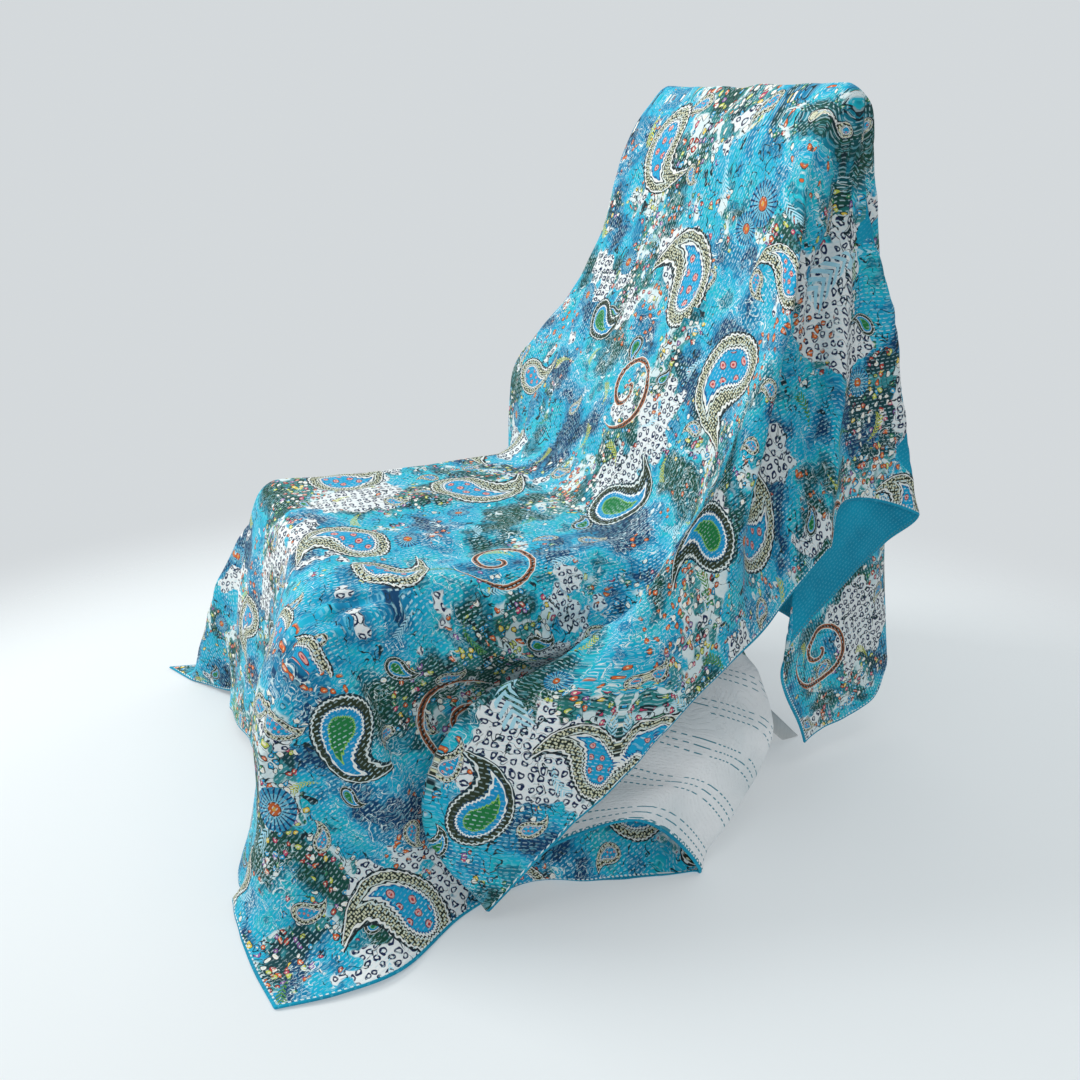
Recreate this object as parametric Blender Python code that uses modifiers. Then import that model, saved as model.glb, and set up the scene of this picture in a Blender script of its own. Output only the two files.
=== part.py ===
"""A kantha quilt draped over a plain high-backed chair.

Metres, +Z up. The chair faces -Y, its near side is +X, and the floor is z = 0.
The quilt is one stitched sheet. Its length runs up the front of the chair, along the seat, up the
leaning back and down behind it. Its width hangs down both sides in folds that reach the floor.
"""
import bpy
import bmesh
import numpy as np
from mathutils import Matrix, Vector

# Quilt, laid flat.
QUILT_LENGTH = 2.66
QUILT_THICKNESS = 0.0024

# Chair.
CHAIR_HALF_WIDTH = 0.245
SEAT_TOP = 0.436
SEAT_THICKNESS = 0.040
SEAT_FRONT = -0.240
SEAT_BACK = 0.238
BACK_TOP = 1.088
BACK_LEAN = 0.427
BACK_THICKNESS = 0.024
LEG_SIDE = 0.036
LEG_INSET = 0.012
BACK_LEG_RAKE = 0.93
RAIL_HEIGHT = 0.060
RAIL_THICKNESS = 0.018
JOINT_GAP = 0.0003
EDGE_SOFTNESS = 0.003

# The quilt bends over the chair's sides this far from the centre line.
EDGE_OUT = 0.266
EDGE_ROUND = 0.025
SHOULDER_RISE = 0.003
EDGE_FALL = 0.005

# Faces along the quilt's length, and across each strip of its width.
CELLS_ALONG = 66
CELLS_SIDE = 4
CELLS_TOP = 10

CM = 0.01
FLOOR_GAP = 0.0004

# How far each row of the side folds is drawn towards the mean of the rows beside it.
FOLD_SOFTNESS = 0.25

# Moves the origin to the middle of the whole model's footprint, in cm.
CENTRING = (0.45, -15.9, 0)

# The quilt's centre line. Each row is a distance along the quilt, then how far back and how high it
# is there, in cm.
CENTRE_LINE = (
    (0, -33, 2),
    (14, -31, 14),
    (36, -28, 34),
    (47, -25.5, 44.5),
    (52, -22.5, 46.0),
    (74, -2, 45),
    (97, 19.8, 45),
    (104, 25.6, 48.7),
    (114, 29.8, 57.8),
    (141, 40.7, 82.7),
    (168, 50.8, 107.6),
    (173, 53.8, 110.2),
    (178, 57, 107.6),
    (200, 59.5, 86),
    (230, 60.5, 56),
    (266, 61, 20),
)

# How far the two edge lines of the front drop stand off the centre line's place there, in cm. Each
# row is a distance along the quilt, the near edge's out, back and up, and the far edge's back and up.
FRONT_EDGES = (
    (0, -4, -8, -1.6, -2, 0),
    (14, -1, -7, -1, -2, 0),
    (36, 0, -7, 0, -1, 0),
    (47, 0, -3, 0, 0, 0),
    (55, 0, 0, 0, 0, 0),
)

# The folds of the near side, from the front corner to the corner behind the chair, in cm.
# Each row is one line of the quilt from the chair's edge down to the hem: its fold, its distance
# along the quilt, and then the points (out, back, up) of its swag, upper, lower and hem.
NEAR_FOLDS = (
    ("front corner", 0, (26, -43, 0.8), (31, -43, 0.3), (39, -42.5, 0.2), (47.7, -41, 0.2)),
    ("floor hem", 10, (29, -41, 6), (34, -40, 4), (41, -38, 0.6), (49, -33, 0.2)),
    ("floor hem end", 22, (30, -38, 18), (34.5, -36, 12), (41, -30, 4), (48, -24, 0.2)),
    ("valley mouth", 34, (30, -36, 29), (33, -32, 21), (36.5, -25, 10), (41.5, -13, 0.2)),
    ("corner ridge", 46, (31, -27, 41), (34, -24, 33), (37, -19, 14), (39, -2, 0.2)),
    ("dark layer", 58, (32, -15, 38), (30.5, -12, 29), (35, 0, 14), (43, 8, 0.2)),
    ("dark layer end", 70, (31.8, -3, 35), (29.8, 18, 28), (35, 33, 13), (46, 17, 0.2)),
    ("curl", 79, (31.4, 5, 34.5), (30.8, 38, 29), (37.5, 41.5, 16), (47.5, 22.5, 0.8)),
    ("reverse flap", 88, (32, 12, 35), (33, 26, 28), (40.5, 28, 19), (46, 12, 12)),
    ("tuck", 96, (33, 16, 36.5), (35, 2, 28), (38.5, -8, 17), (43, -3, 8)),
    ("tip", 103, (34, 18, 39.5), (36.8, -12, 29), (40.2, -17.5, 16.5), (43.5, -10, 1.4)),
    ("band foot", 113, (34.8, 23, 46.5), (38.2, 6, 35), (43.5, -4, 24), (46, 0, 13)),
    ("band", 126, (34.5, 29, 58), (38, 19, 46), (43.5, 12, 33), (46.5, 9, 20)),
    ("band head", 142, (34, 36, 72), (37, 29, 56), (42, 24, 41), (44, 22, 29)),
    ("front pleat", 154, (33, 42, 85), (35.5, 37.5, 68), (38.5, 33, 51), (41.5, 32, 33.5)),
    ("pleat back", 159, (28.4, 45, 88), (28.8, 40, 72), (31, 37, 54), (39.5, 37, 35)),
    ("valley", 165, (28.2, 50, 92), (28.2, 47, 76), (29, 46, 58), (37, 42, 37)),
    ("second pleat", 175, (28.6, 54, 98), (31.1, 52.7, 82.6), (34.1, 51.2, 64.7), (37.4, 49.5, 45)),
)

# The folds of the far side, in the same way.
FAR_FOLDS = (
    ("front corner", 0, (-31, -33, 2), (-35, -35, 1.2), (-42, -40, 0.3), (-50, -44, 0.2)),
    ("corner fold", 16, (-31, -33.5, 18), (-35, -36.5, 12), (-42, -40, 3), (-48, -37, 0.2)),
    ("front fold", 36, (-30.5, -28.5, 35), (-34, -32, 27), (-39.5, -34, 12), (-45, -28, 0.2)),
    ("seat fold", 54, (-29.5, -20, 41), (-32, -20, 32), (-36, -18, 16), (-38, -14, 0.4)),
    ("seat valley", 72, (-28.5, -4, 40), (-29, -4, 31), (-31, -4, 14), (-41, -2, 0.2)),
    ("rear seat fold", 90, (-29.5, 13, 41), (-32, 12, 32), (-37, 12, 16), (-41, 12, 0.4)),
    ("junction", 106, (-29, 26, 46), (-31, 26, 37), (-34, 25, 22), (-38, 24, 8)),
    ("bulge", 120, (-31, 31, 61), (-36.5, 28.5, 57.5), (-41.5, 29, 52), (-39, 32, 42)),
    ("back fold", 144, (-30, 42, 82), (-32, 41, 75), (-34, 41, 66), (-36, 43, 56)),
    ("top fold", 166, (-29.5, 50, 101), (-31, 50, 94), (-32.5, 51, 84), (-34, 54, 74)),
    ("top corner", 175, (-28.1, 54.8, 103), (-29.8, 54.5, 95), (-31.8, 54.3, 85), (-34, 54, 75)),
)

# Past the chair's top corners the quilt hangs in folds that all start at the corner.
# Each row is one fold: its angle in the flat quilt, from 0 straight across to 90 straight along, and
# then how far it goes out, back and down, in cm for each 100 cm of its length.
CORNER_ALONG = 175.0
NEAR_CORNER = (
    ("second pleat", 0, 15, -7.6, 89.5),
    ("second valley", 5, 8, 0, 81),
    ("outer flap", 13, 8.4, 19, 82),
    ("turned back", 22, 6.2, 12.7, 82),
    ("turned hem", 30, 6, 3.8, 80),
    ("inner fold", 39, 6.3, -9, 81),
    ("rear corner", 46.7, 2.7, 0, 84),
    ("rear flap", 55, 2, 9, 93),
    ("rear flap edge", 62, 0.6, 17, 98),
    ("rear flute", 69, -2.2, 22, 98),
    ("rear valley", 79, -2.5, 14, 98),
    ("rear edge", 90, 0, 7, 98),
)
FAR_CORNER = (
    ("top corner", 0, 22, -3, 100),
    ("rear flute", 32, 20, 14, 88),
    ("rear fold", 60, 10, 12, 94),
    ("rear edge", 90, 0, 7, 98),
)

# The drop of each side at the seat's front edge, in cm. The quilt lies a little askew, so the near
# drop grows by this share of the distance along, and the far drop shrinks.
NEAR_DROP = 54
FAR_DROP = 52
DROP_CHANGE = 0.147
SEAT_EDGE_ALONG = 50

# Folds past a corner ease off over this length towards the corner, in cm, and those beyond this
# angle follow the chair's edge.
GATHER_LENGTH = 34
EDGE_BLEND_FROM = 30

# Where the lines lie across the quilt, on a scale of 0 at the far hem to 10 at the near hem, and what
# share of a side's drop each of them has above it.
LINE_PLACES = (0, 0.8, 1.5, 2.1, 2.8, 3.1, 5, 6.9, 7.2, 7.9, 8.5, 9.2, 10)
LINE_SHARES = (0, 0.18, 0.42, 0.70, 1.0)
FAR_EDGE_PLACE = LINE_PLACES[4]
NEAR_EDGE_PLACE = LINE_PLACES[8]


def spline(places, values, wanted, tight=False):
    """Values at the wanted places on a smooth line. A tight line never overshoots the given values."""
    places = np.asarray(places, float)
    values = np.asarray(values, float)
    steps = np.diff(places)
    slopes = np.diff(values, axis=0) / steps[:, None]
    tangents = np.empty_like(values)
    tangents[0] = slopes[0]
    tangents[-1] = slopes[-1]
    before = steps[:-1, None]
    after = steps[1:, None]
    tangents[1:-1] = (slopes[:-1] * after + slopes[1:] * before) / (before + after)
    if tight:
        flat = slopes[:-1] * slopes[1:] <= 0
        limit = 2 * np.minimum(abs(slopes[:-1]), abs(slopes[1:]))
        tangents[1:-1] = np.where(flat, 0, np.clip(tangents[1:-1], -limit, limit))
    spans = np.clip(np.searchsorted(places, wanted, side="right") - 1, 0, len(steps) - 1)
    length = steps[spans]
    share = ((wanted - places[spans]) / length)[:, None]
    length = length[:, None]
    start = (1 + 2 * share) * (1 - share) ** 2 * values[spans]
    end = share ** 2 * (3 - 2 * share) * values[spans + 1]
    start += share * (1 - share) ** 2 * length * tangents[spans]
    end += share ** 2 * (share - 1) * length * tangents[spans + 1]
    return start + end


def centreLine(along):
    table = np.array(CENTRE_LINE, float)
    line = spline(table[:, 0], table[:, 1:], along, True)
    return np.column_stack([np.zeros(len(along)), line])


def edgeLines(along, side):
    """The shoulder and the edge, where the quilt bends over the near side (1) or far side (-1)."""
    table = np.array(FRONT_EDGES)
    front = spline(table[:, 0], table[:, 1:], np.minimum(along, table[-1, 0]))
    edge = centreLine(along)
    edge[:, 0] = side * EDGE_OUT / CM
    if side > 0:
        edge += front[:, 0:3]
    else:
        edge[:, 1:] += front[:, 3:5]
    shoulder = edge.copy()
    shoulder[:, 0] -= side * EDGE_ROUND / CM
    shoulder[:, 2] += SHOULDER_RISE / CM
    edge[:, 2] -= EDGE_FALL / CM
    return [shoulder, edge]


def foldLines(folds, along):
    """The lines that run through one side's folds, from the one nearest the chair to the hem."""
    places = [fold[1] for fold in folds]
    return [spline(places, [fold[column] for fold in folds], along) for column in (2, 3, 4, 5)]


def cornerFolds(folds, past, shares, side):
    """One row past a top corner, where shares run from 0 at the edge line to 1 at the hem."""
    change = DROP_CHANGE * (CORNER_ALONG + past - SEAT_EDGE_ALONG)
    drop = NEAR_DROP + change if side > 0 else FAR_DROP - change
    across = shares * drop
    angle = np.degrees(np.arctan2(past, across))
    slope = spline([fold[1] for fold in folds], [fold[2:] for fold in folds], angle) * (side, 1, -1) / 100
    corner = edgeLines(np.array([CORNER_ALONG, CORNER_ALONG + past]), side)[1]
    straight = slope[0] * past
    reach = np.hypot(across, past)[:, None]
    plain = slope[-1] + (slope[0] - slope[-1]) * ((angle - angle[-1]) / (90 - angle[-1]))[:, None]
    slope = plain + (slope - plain) * np.clip(reach / GATHER_LENGTH, 0, 1)
    blend = np.clip((angle - EDGE_BLEND_FROM) / (90 - EDGE_BLEND_FROM), 0, 1)[:, None]
    return corner[0] + slope * reach + blend * (corner[1] - corner[0] - straight)


def quiltSurface(cellsAlong, cellsSide, cellsTop):
    """The quilt's middle surface as a grid of points: rows along its length, columns across it."""
    along = np.linspace(0, QUILT_LENGTH / CM, cellsAlong + 1)
    beside = np.minimum(along, CORNER_ALONG)
    lines = foldLines(FAR_FOLDS, beside)[::-1] + edgeLines(along, -1)[::-1] + [centreLine(along)]
    lines = np.array(lines + edgeLines(along, 1) + foldLines(NEAR_FOLDS, beside))
    farSide = np.linspace(0, FAR_EDGE_PLACE, 3 * cellsSide + 1)
    top = np.linspace(FAR_EDGE_PLACE, NEAR_EDGE_PLACE, cellsTop + 1)
    nearSide = np.linspace(NEAR_EDGE_PLACE, LINE_PLACES[-1], 3 * cellsSide + 1)
    across = np.concatenate([farSide, top[1:-1], nearSide])
    grid = np.array([spline(LINE_PLACES, lines[:, row], across, True) for row in range(len(along))])
    nearShares = np.interp(nearSide, LINE_PLACES[8:], LINE_SHARES)
    farShares = np.interp(-farSide[::-1], -np.array(LINE_PLACES[4::-1]), LINE_SHARES)
    for row in np.flatnonzero(along > CORNER_ALONG):
        past = along[row] - CORNER_ALONG
        grid[row, :len(farSide)] = cornerFolds(FAR_CORNER, past, farShares, -1)[::-1]
        grid[row, -len(nearSide):] = cornerFolds(NEAR_CORNER, past, nearShares, 1)
    soft = grid[:-2] + grid[2:] - 2 * grid[1:-1]
    grid[1:-1, :len(farSide) - 1] += FOLD_SOFTNESS * soft[:, :len(farSide) - 1]
    grid[1:-1, 1 - len(nearSide):] += FOLD_SOFTNESS * soft[:, 1 - len(nearSide):]
    grid = (grid + CENTRING) * CM
    grid[:, :, 2] = np.maximum(grid[:, :, 2], FLOOR_GAP + QUILT_THICKNESS / 2)
    return grid


def newMaterial(name, colour, roughness):
    material = bpy.data.materials.new(name)
    material.use_nodes = True
    shader = material.node_tree.nodes["Principled BSDF"]
    shader.inputs["Base Color"].default_value = (*colour, 1.0)
    shader.inputs["Roughness"].default_value = roughness
    shader.inputs["Metallic"].default_value = 0.0
    return material


def addObject(name, mesh, material, collection):
    mesh.materials.append(material)
    piece = bpy.data.objects.new(name, mesh)
    collection.objects.link(piece)
    return piece


def quilt(collection):
    """The whole quilt: print, batting and backing are stitched into one sheet."""
    surface = quiltSurface(CELLS_ALONG, CELLS_SIDE, CELLS_TOP)
    rows, columns = surface.shape[:2]
    mesh = bmesh.new()
    points = [[mesh.verts.new(surface[row, column]) for column in range(columns)] for row in range(rows)]
    for row in range(rows - 1):
        for column in range(columns - 1):
            near, far = points[row], points[row + 1]
            mesh.faces.new((near[column], near[column + 1], far[column + 1], far[column]))
    bmesh.ops.triangulate(mesh, faces=mesh.faces, quad_method="SHORT_EDGE")
    data = bpy.data.meshes.new("quilt")
    mesh.to_mesh(data)
    mesh.free()
    data.shade_smooth()
    piece = addObject("quilt", data, newMaterial("printed_cotton", (0.03, 0.28, 0.40), 0.9), collection)
    sheet = piece.modifiers.new("thickness", "SOLIDIFY")
    sheet.thickness = QUILT_THICKNESS
    sheet.offset = 0


def slab(name, low, high, material, collection, leanLow=0.0, leanHigh=0.0):
    """A box between two corners, whose lower and upper faces can be moved along Y to lean it."""
    mesh = bmesh.new()
    bmesh.ops.create_cube(mesh, size=1.0)
    size = Vector(high) - Vector(low)
    middle = (Vector(high) + Vector(low)) / 2
    placing = Matrix.Translation(middle) @ Matrix.Diagonal((*size, 1.0))
    bmesh.ops.transform(mesh, matrix=placing, verts=mesh.verts)
    for point in mesh.verts:
        point.co.y += leanHigh if point.co.z > middle.z else leanLow
    bmesh.ops.translate(mesh, vec=Vector(CENTRING) * CM, verts=mesh.verts)
    data = bpy.data.meshes.new(name)
    mesh.to_mesh(data)
    mesh.free()
    piece = addObject(name, data, material, collection)
    edges = piece.modifiers.new("soft edges", "BEVEL")
    edges.width = EDGE_SOFTNESS
    edges.segments = 2
    return piece


def chair(collection):
    """A plain chair: a seat panel on four legs and four rails, and a leaning back panel."""
    wood = newMaterial("painted_wood", (0.55, 0.55, 0.54), 0.55)
    half = CHAIR_HALF_WIDTH
    under = SEAT_TOP - SEAT_THICKNESS
    slab("chair_seat", (-half, SEAT_FRONT, under), (half, SEAT_BACK, SEAT_TOP), wood, collection)
    foot = SEAT_BACK + JOINT_GAP
    lean = (BACK_TOP - under) * BACK_LEAN
    back = (half, foot + BACK_THICKNESS, BACK_TOP)
    slab("chair_back", (-half, foot, under), back, wood, collection, leanHigh=lean)

    outer = half - LEG_INSET
    inner = outer - LEG_SIDE
    front = SEAT_FRONT + LEG_INSET
    rear = SEAT_BACK - LEG_INSET
    joint = under - JOINT_GAP
    rake = joint * BACK_LEG_RAKE
    for side, near in (("far", -1), ("near", 1)):
        low, high = sorted((near * inner, near * outer))
        top = (high, front + LEG_SIDE, joint)
        slab("chair_front_leg_" + side, (low, front, 0), top, wood, collection)
        top = (high, rear, joint)
        slab("chair_back_leg_" + side, (low, rear - LEG_SIDE, 0), top, wood, collection, leanLow=rake)
        low, high = sorted((near * (inner - JOINT_GAP), near * (inner - RAIL_THICKNESS)))
        slab("chair_rail_" + side, (low, front, joint - RAIL_HEIGHT), (high, rear, joint), wood, collection)


for old in list(bpy.data.objects):
    bpy.data.objects.remove(old, do_unlink=True)
draped = bpy.data.collections.new("draped_quilt")
bpy.context.scene.collection.children.link(draped)
quilt(draped)
chair(draped)
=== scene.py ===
# A kantha quilt thrown over a high-backed chair. Metres, +Z up, the chair faces -Y.
import math

import bpy
import numpy as np
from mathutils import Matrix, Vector


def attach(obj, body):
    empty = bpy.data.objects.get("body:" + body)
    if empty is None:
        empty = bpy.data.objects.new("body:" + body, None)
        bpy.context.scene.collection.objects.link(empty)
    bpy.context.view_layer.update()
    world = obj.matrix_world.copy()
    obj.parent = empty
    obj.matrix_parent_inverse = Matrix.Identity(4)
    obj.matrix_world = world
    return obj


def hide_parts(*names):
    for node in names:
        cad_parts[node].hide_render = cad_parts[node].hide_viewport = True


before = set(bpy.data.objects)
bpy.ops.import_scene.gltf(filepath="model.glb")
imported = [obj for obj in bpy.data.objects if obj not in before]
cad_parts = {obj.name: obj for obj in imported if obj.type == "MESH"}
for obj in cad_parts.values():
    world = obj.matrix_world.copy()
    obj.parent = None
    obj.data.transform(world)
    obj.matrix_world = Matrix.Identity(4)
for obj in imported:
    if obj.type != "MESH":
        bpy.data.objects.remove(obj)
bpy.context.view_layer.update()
print("frame loaded")

cm = 0.01
mm = 0.001

camera = {
    "place": (1.5415, -0.666, 1.078),
    "turn": 66.1,  # degrees from +Y towards -X
    "down": 22.7,  # degrees below level
    "lens": 34.83,  # mm, on a sensor 36 mm wide
}
cameraData = bpy.data.cameras.new("studioCamera")
cameraData.lens = camera["lens"]
cameraData.sensor_width = 36
cameraObject = bpy.data.objects.new("studioCamera", cameraData)
cameraObject.location = camera["place"]
cameraObject.rotation_euler = (math.radians(90 - camera["down"]), 0, math.radians(camera["turn"]))
bpy.context.scene.collection.objects.link(cameraObject)
bpy.context.scene.camera = cameraObject


def toLinear(hexColour, alpha=1.0):
    parts = [int(hexColour[i:i + 2], 16) / 255 for i in (1, 3, 5)]
    return tuple(p / 12.92 if p <= 0.04045 else ((p + 0.055) / 1.055) ** 2.4 for p in parts) + (alpha,)


# the setting that a node's mode stands for
nodeModes = {
    "Math": "operation",
    "VectorMath": "operation",
    "Mix": "data_type",
    "TexNoise": "noise_dimensions",
    "TexVoronoi": "voronoi_dimensions",
    "TexWhiteNoise": "noise_dimensions",
    "MapRange": "interpolation_type",
}


def addNode(tree, kind, links=(), mode=None, stops=None, **settings):
    # one node with its settings, a ramp's stops if it has any, and its inputs by name or in order, each a
    # number, a hex colour, another node (its first output in use is meant) or one of a node's outputs
    node = tree.nodes.new(kind if kind.startswith("NodeGroup") else "ShaderNode" + kind)
    if mode and not stops:
        setattr(node, nodeModes[kind], mode)
    for name, value in settings.items():
        setattr(node, name, value)
    for name, value in (links.items() if isinstance(links, dict) else enumerate(links)):
        if isinstance(value, bpy.types.Node):
            value = next(socket for socket in value.outputs if socket.enabled)
        if isinstance(value, bpy.types.NodeSocket):
            tree.links.new(value, node.inputs[name])
        else:
            node.inputs[name].default_value = toLinear(value) if isinstance(value, str) else value
    if stops:
        ramp = node.color_ramp
        ramp.interpolation = mode or "LINEAR"
        ramp.elements.remove(ramp.elements[1])
        for number, (place, colour) in enumerate(stops):
            stop = ramp.elements.new(place) if number else ramp.elements[0]
            stop.position = place
            stop.color = toLinear(colour)
    return node


# the quilt's shape: tables in cm, first as distances along the quilt
quilt = {
    # painting map, as shares of its side: margin, the print's width and height, the reverse's shift, the rim
    "paintMap": (0.012, 0.47, 0.976, 0.506, 0.003),
    "length": 266,
    "thickness": 2.4 * mm,
    "hemThickness": 4.2 * mm,  # the cloth is turned twice and stitched at the hem
    "hemWidth": 11 * mm,
    "hemStep": 1.8 * mm,  # over this the turned cloth thins out
    "hemCells": (0, 0.3, 0.65, 0.9, 1.2),  # rows of points beside the hem, in hem widths
    "hemSpace": 1.6,
    "floorGap": 0.4 * mm,
    "edgeOut": 26.6,  # where the quilt bends over the chair's sides
    "edgeRound": 2.5,
    "shoulderRise": 0.3,
    "edgeFall": 0.5,
    "middle": (0.45, -15.9, 0),
    "linePlaces": (0, 0.8, 1.5, 2.1, 2.8, 3.1, 5, 6.9, 7.2, 7.9, 8.5, 9.2, 10),
    "lineShares": (0, 0.18, 0.42, 0.70, 1.0),
    "sideLength": 78,  # from the middle of the seat to a side hem, about
    "cellsAlong": 276,
    "cellsSide": 58,
    "cellsTop": 48,
    # distance along, back, up
    "centreLine": (
        (0, -33, 2),
        (14, -31, 14),
        (36, -28, 34),
        (47, -25.5, 44.5),
        (52, -22.5, 46.0),
        (74, -2, 45),
        (97, 19.8, 45),
        (104, 25.6, 48.7),
        (114, 29.8, 57.8),
        (141, 40.7, 82.7),
        (168, 50.8, 107.6),
        (173, 53.8, 110.2),
        (178, 57, 107.6),
        (200, 59.5, 86),
        (230, 60.5, 56),
        (266, 61, 20),
    ),
    # distance along, the near edge's out, back and up, the far edge's back and up
    "frontEdges": (
        (0, -4, -8, -1.6, -2, 0),
        (14, -1, -7, -1, -2, 0),
        (36, 0, -7, 0, -1, 0),
        (47, 0, -3, 0, 0, 0),
        (55, 0, 0, 0, 0, 0),
    ),
    # fold, distance along, then out, back, up of the swag, upper, lower and hem
    "nearFolds": (
        ("front corner", 0, (26, -43, 0.8), (31, -43, 0.3), (39, -42.5, 0.2), (47.7, -41, 0.2)),
        ("floor hem", 10, (29, -41, 6), (34, -40, 4), (41, -38, 0.6), (49, -33, 0.2)),
        ("floor hem end", 22, (30, -38, 18), (34.5, -36, 12), (41, -30, 4), (48, -24, 0.2)),
        ("valley mouth", 34, (30, -36, 29), (33, -32, 21), (36.5, -25, 10), (41.5, -13, 0.2)),
        ("corner ridge", 46, (31, -27, 41), (34, -24, 33), (37, -19, 14), (39, -2, 0.2)),
        ("dark layer", 58, (32, -15, 38), (30.5, -12, 29), (35, 0, 14), (43, 8, 0.2)),
        ("dark layer end", 70, (31.8, -3, 35), (29.8, 18, 28), (35, 33, 13), (46, 17, 0.2)),
        ("curl", 79, (31.4, 5, 34.5), (30.8, 38, 29), (37.5, 41.5, 16), (47.5, 22.5, 0.8)),
        ("reverse flap", 88, (32, 12, 35), (33, 26, 28), (40.5, 28, 19), (46, 12, 12)),
        ("tuck", 96, (33, 16, 36.5), (35, 2, 28), (38.5, -8, 17), (43, -3, 8)),
        ("tip", 103, (34, 18, 39.5), (36.8, -12, 29), (40.2, -17.5, 16.5), (43.5, -10, 1.4)),
        ("band foot", 113, (34.8, 23, 46.5), (38.2, 6, 35), (43.5, -4, 24), (46, 0, 13)),
        ("band", 126, (34.5, 29, 58), (38, 19, 46), (43.5, 12, 33), (46.5, 9, 20)),
        ("band head", 142, (34, 36, 72), (37, 29, 56), (42, 24, 41), (44, 22, 29)),
        ("front pleat", 154, (33, 42, 85), (35.5, 37.5, 68), (38.5, 33, 51), (41.5, 32, 33.5)),
        ("pleat back", 159, (28.4, 45, 88), (28.8, 40, 72), (31, 37, 54), (39.5, 37, 35)),
        ("valley", 165, (28.2, 50, 92), (28.2, 47, 76), (29, 46, 58), (37, 42, 37)),
        ("second pleat", 175, (28.6, 54, 98), (31.1, 52.7, 82.6), (34.1, 51.2, 64.7), (37.4, 49.5, 45)),
    ),
    "farFolds": (
        ("front corner", 0, (-31, -33, 2), (-35, -35, 1.2), (-42, -40, 0.3), (-50, -44, 0.2)),
        ("corner fold", 16, (-31, -33.5, 18), (-35, -36.5, 12), (-42, -40, 3), (-48, -37, 0.2)),
        ("front fold", 36, (-30.5, -28.5, 35), (-34, -32, 27), (-39.5, -34, 12), (-45, -28, 0.2)),
        ("seat fold", 54, (-29.5, -20, 41), (-32, -20, 32), (-36, -18, 16), (-38, -14, 0.4)),
        ("seat valley", 72, (-28.5, -4, 40), (-29, -4, 31), (-31, -4, 14), (-41, -2, 0.2)),
        ("rear seat fold", 90, (-29.5, 13, 41), (-32, 12, 32), (-37, 12, 16), (-41, 12, 0.4)),
        ("junction", 106, (-29, 26, 46), (-31, 26, 37), (-34, 25, 22), (-38, 24, 8)),
        ("bulge", 120, (-31, 31, 61), (-36.5, 28.5, 57.5), (-41.5, 29, 52), (-39, 32, 42)),
        ("back fold", 144, (-30, 42, 82), (-32, 41, 75), (-34, 41, 66), (-36, 43, 56)),
        ("top fold", 166, (-29.5, 50, 101), (-31, 50, 94), (-32.5, 51, 84), (-34, 54, 74)),
        ("top corner", 175, (-28.1, 54.8, 103), (-29.8, 54.5, 95), (-31.8, 54.3, 85), (-34, 54, 75)),
    ),
}

# folds past the chair's top corners: angle in the flat quilt, then out, back and down for each 100 cm
corner = {
    "along": 175.0,
    "nearDrop": 54,
    "farDrop": 52,
    "dropChange": 0.147,  # the drop gets this much longer for each cm along
    "seatEdgeAlong": 50,
    "gatherLength": 34,  # nearer to the corner than this the folds run together
    "edgeBlendFrom": 30,  # degrees, from here on the folds lean on the cloth's bent edge
    "near": (
        ("second pleat", 0, 15, -7.6, 89.5),
        ("second valley", 5, 8, 0, 81),
        ("outer flap", 13, 8.4, 19, 82),
        ("turned back", 22, 6.2, 12.7, 82),
        ("turned hem", 30, 6, 3.8, 80),
        ("inner fold", 39, 6.3, -9, 81),
        ("rear corner", 46.7, 2.7, 0, 84),
        ("rear flap", 55, 2, 9, 93),
        ("rear flap edge", 62, 0.6, 17, 98),
        ("rear flute", 69, -2.2, 22, 98),
        ("rear valley", 79, -2.5, 14, 98),
        ("rear edge", 90, 0, 7, 98),
    ),
    "far": (
        ("top corner", 0, 22, -3, 100),
        ("rear flute", 32, 20, 14, 88),
        ("rear fold", 60, 10, 12, 94),
        ("rear edge", 90, 0, 7, 98),
    ),
}


def spline(places, values, wanted, tight=False):
    # a smooth line through the values; a tight one never overshoots them
    places = np.asarray(places, float)
    values = np.asarray(values, float)
    steps = np.diff(places)
    slopes = np.diff(values, axis=0) / steps[:, None]
    tangents = np.empty_like(values)
    tangents[0] = slopes[0]
    tangents[-1] = slopes[-1]
    before = steps[:-1, None]
    after = steps[1:, None]
    tangents[1:-1] = (slopes[:-1] * after + slopes[1:] * before) / (before + after)
    if tight:
        flat = slopes[:-1] * slopes[1:] <= 0
        limit = 2 * np.minimum(abs(slopes[:-1]), abs(slopes[1:]))
        tangents[1:-1] = np.where(flat, 0, np.clip(tangents[1:-1], -limit, limit))
    spans = np.clip(np.searchsorted(places, wanted, side="right") - 1, 0, len(steps) - 1)
    length = steps[spans]
    share = ((wanted - places[spans]) / length)[:, None]
    length = length[:, None]
    start = (1 + 2 * share) * (1 - share) ** 2 * values[spans]
    end = share ** 2 * (3 - 2 * share) * values[spans + 1]
    start += share * (1 - share) ** 2 * length * tangents[spans]
    end += share ** 2 * (share - 1) * length * tangents[spans + 1]
    return start + end


def centreLine(along):
    table = np.array(quilt["centreLine"], float)
    return np.column_stack([np.zeros(len(along)), spline(table[:, 0], table[:, 1:], along, True)])


def edgeLines(along, side):
    table = np.array(quilt["frontEdges"], float)
    front = spline(table[:, 0], table[:, 1:], np.minimum(along, table[-1, 0]))
    edge = centreLine(along)
    edge[:, 0] = side * quilt["edgeOut"]
    if side > 0:
        edge += front[:, 0:3]
    else:
        edge[:, 1:] += front[:, 3:5]
    shoulder = edge.copy()
    shoulder[:, 0] -= side * quilt["edgeRound"]
    shoulder[:, 2] += quilt["shoulderRise"]
    edge[:, 2] -= quilt["edgeFall"]
    return [shoulder, edge]


def foldLines(folds, along):
    places = [fold[1] for fold in folds]
    return [spline(places, [fold[column] for fold in folds], along) for column in (2, 3, 4, 5)]


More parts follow.
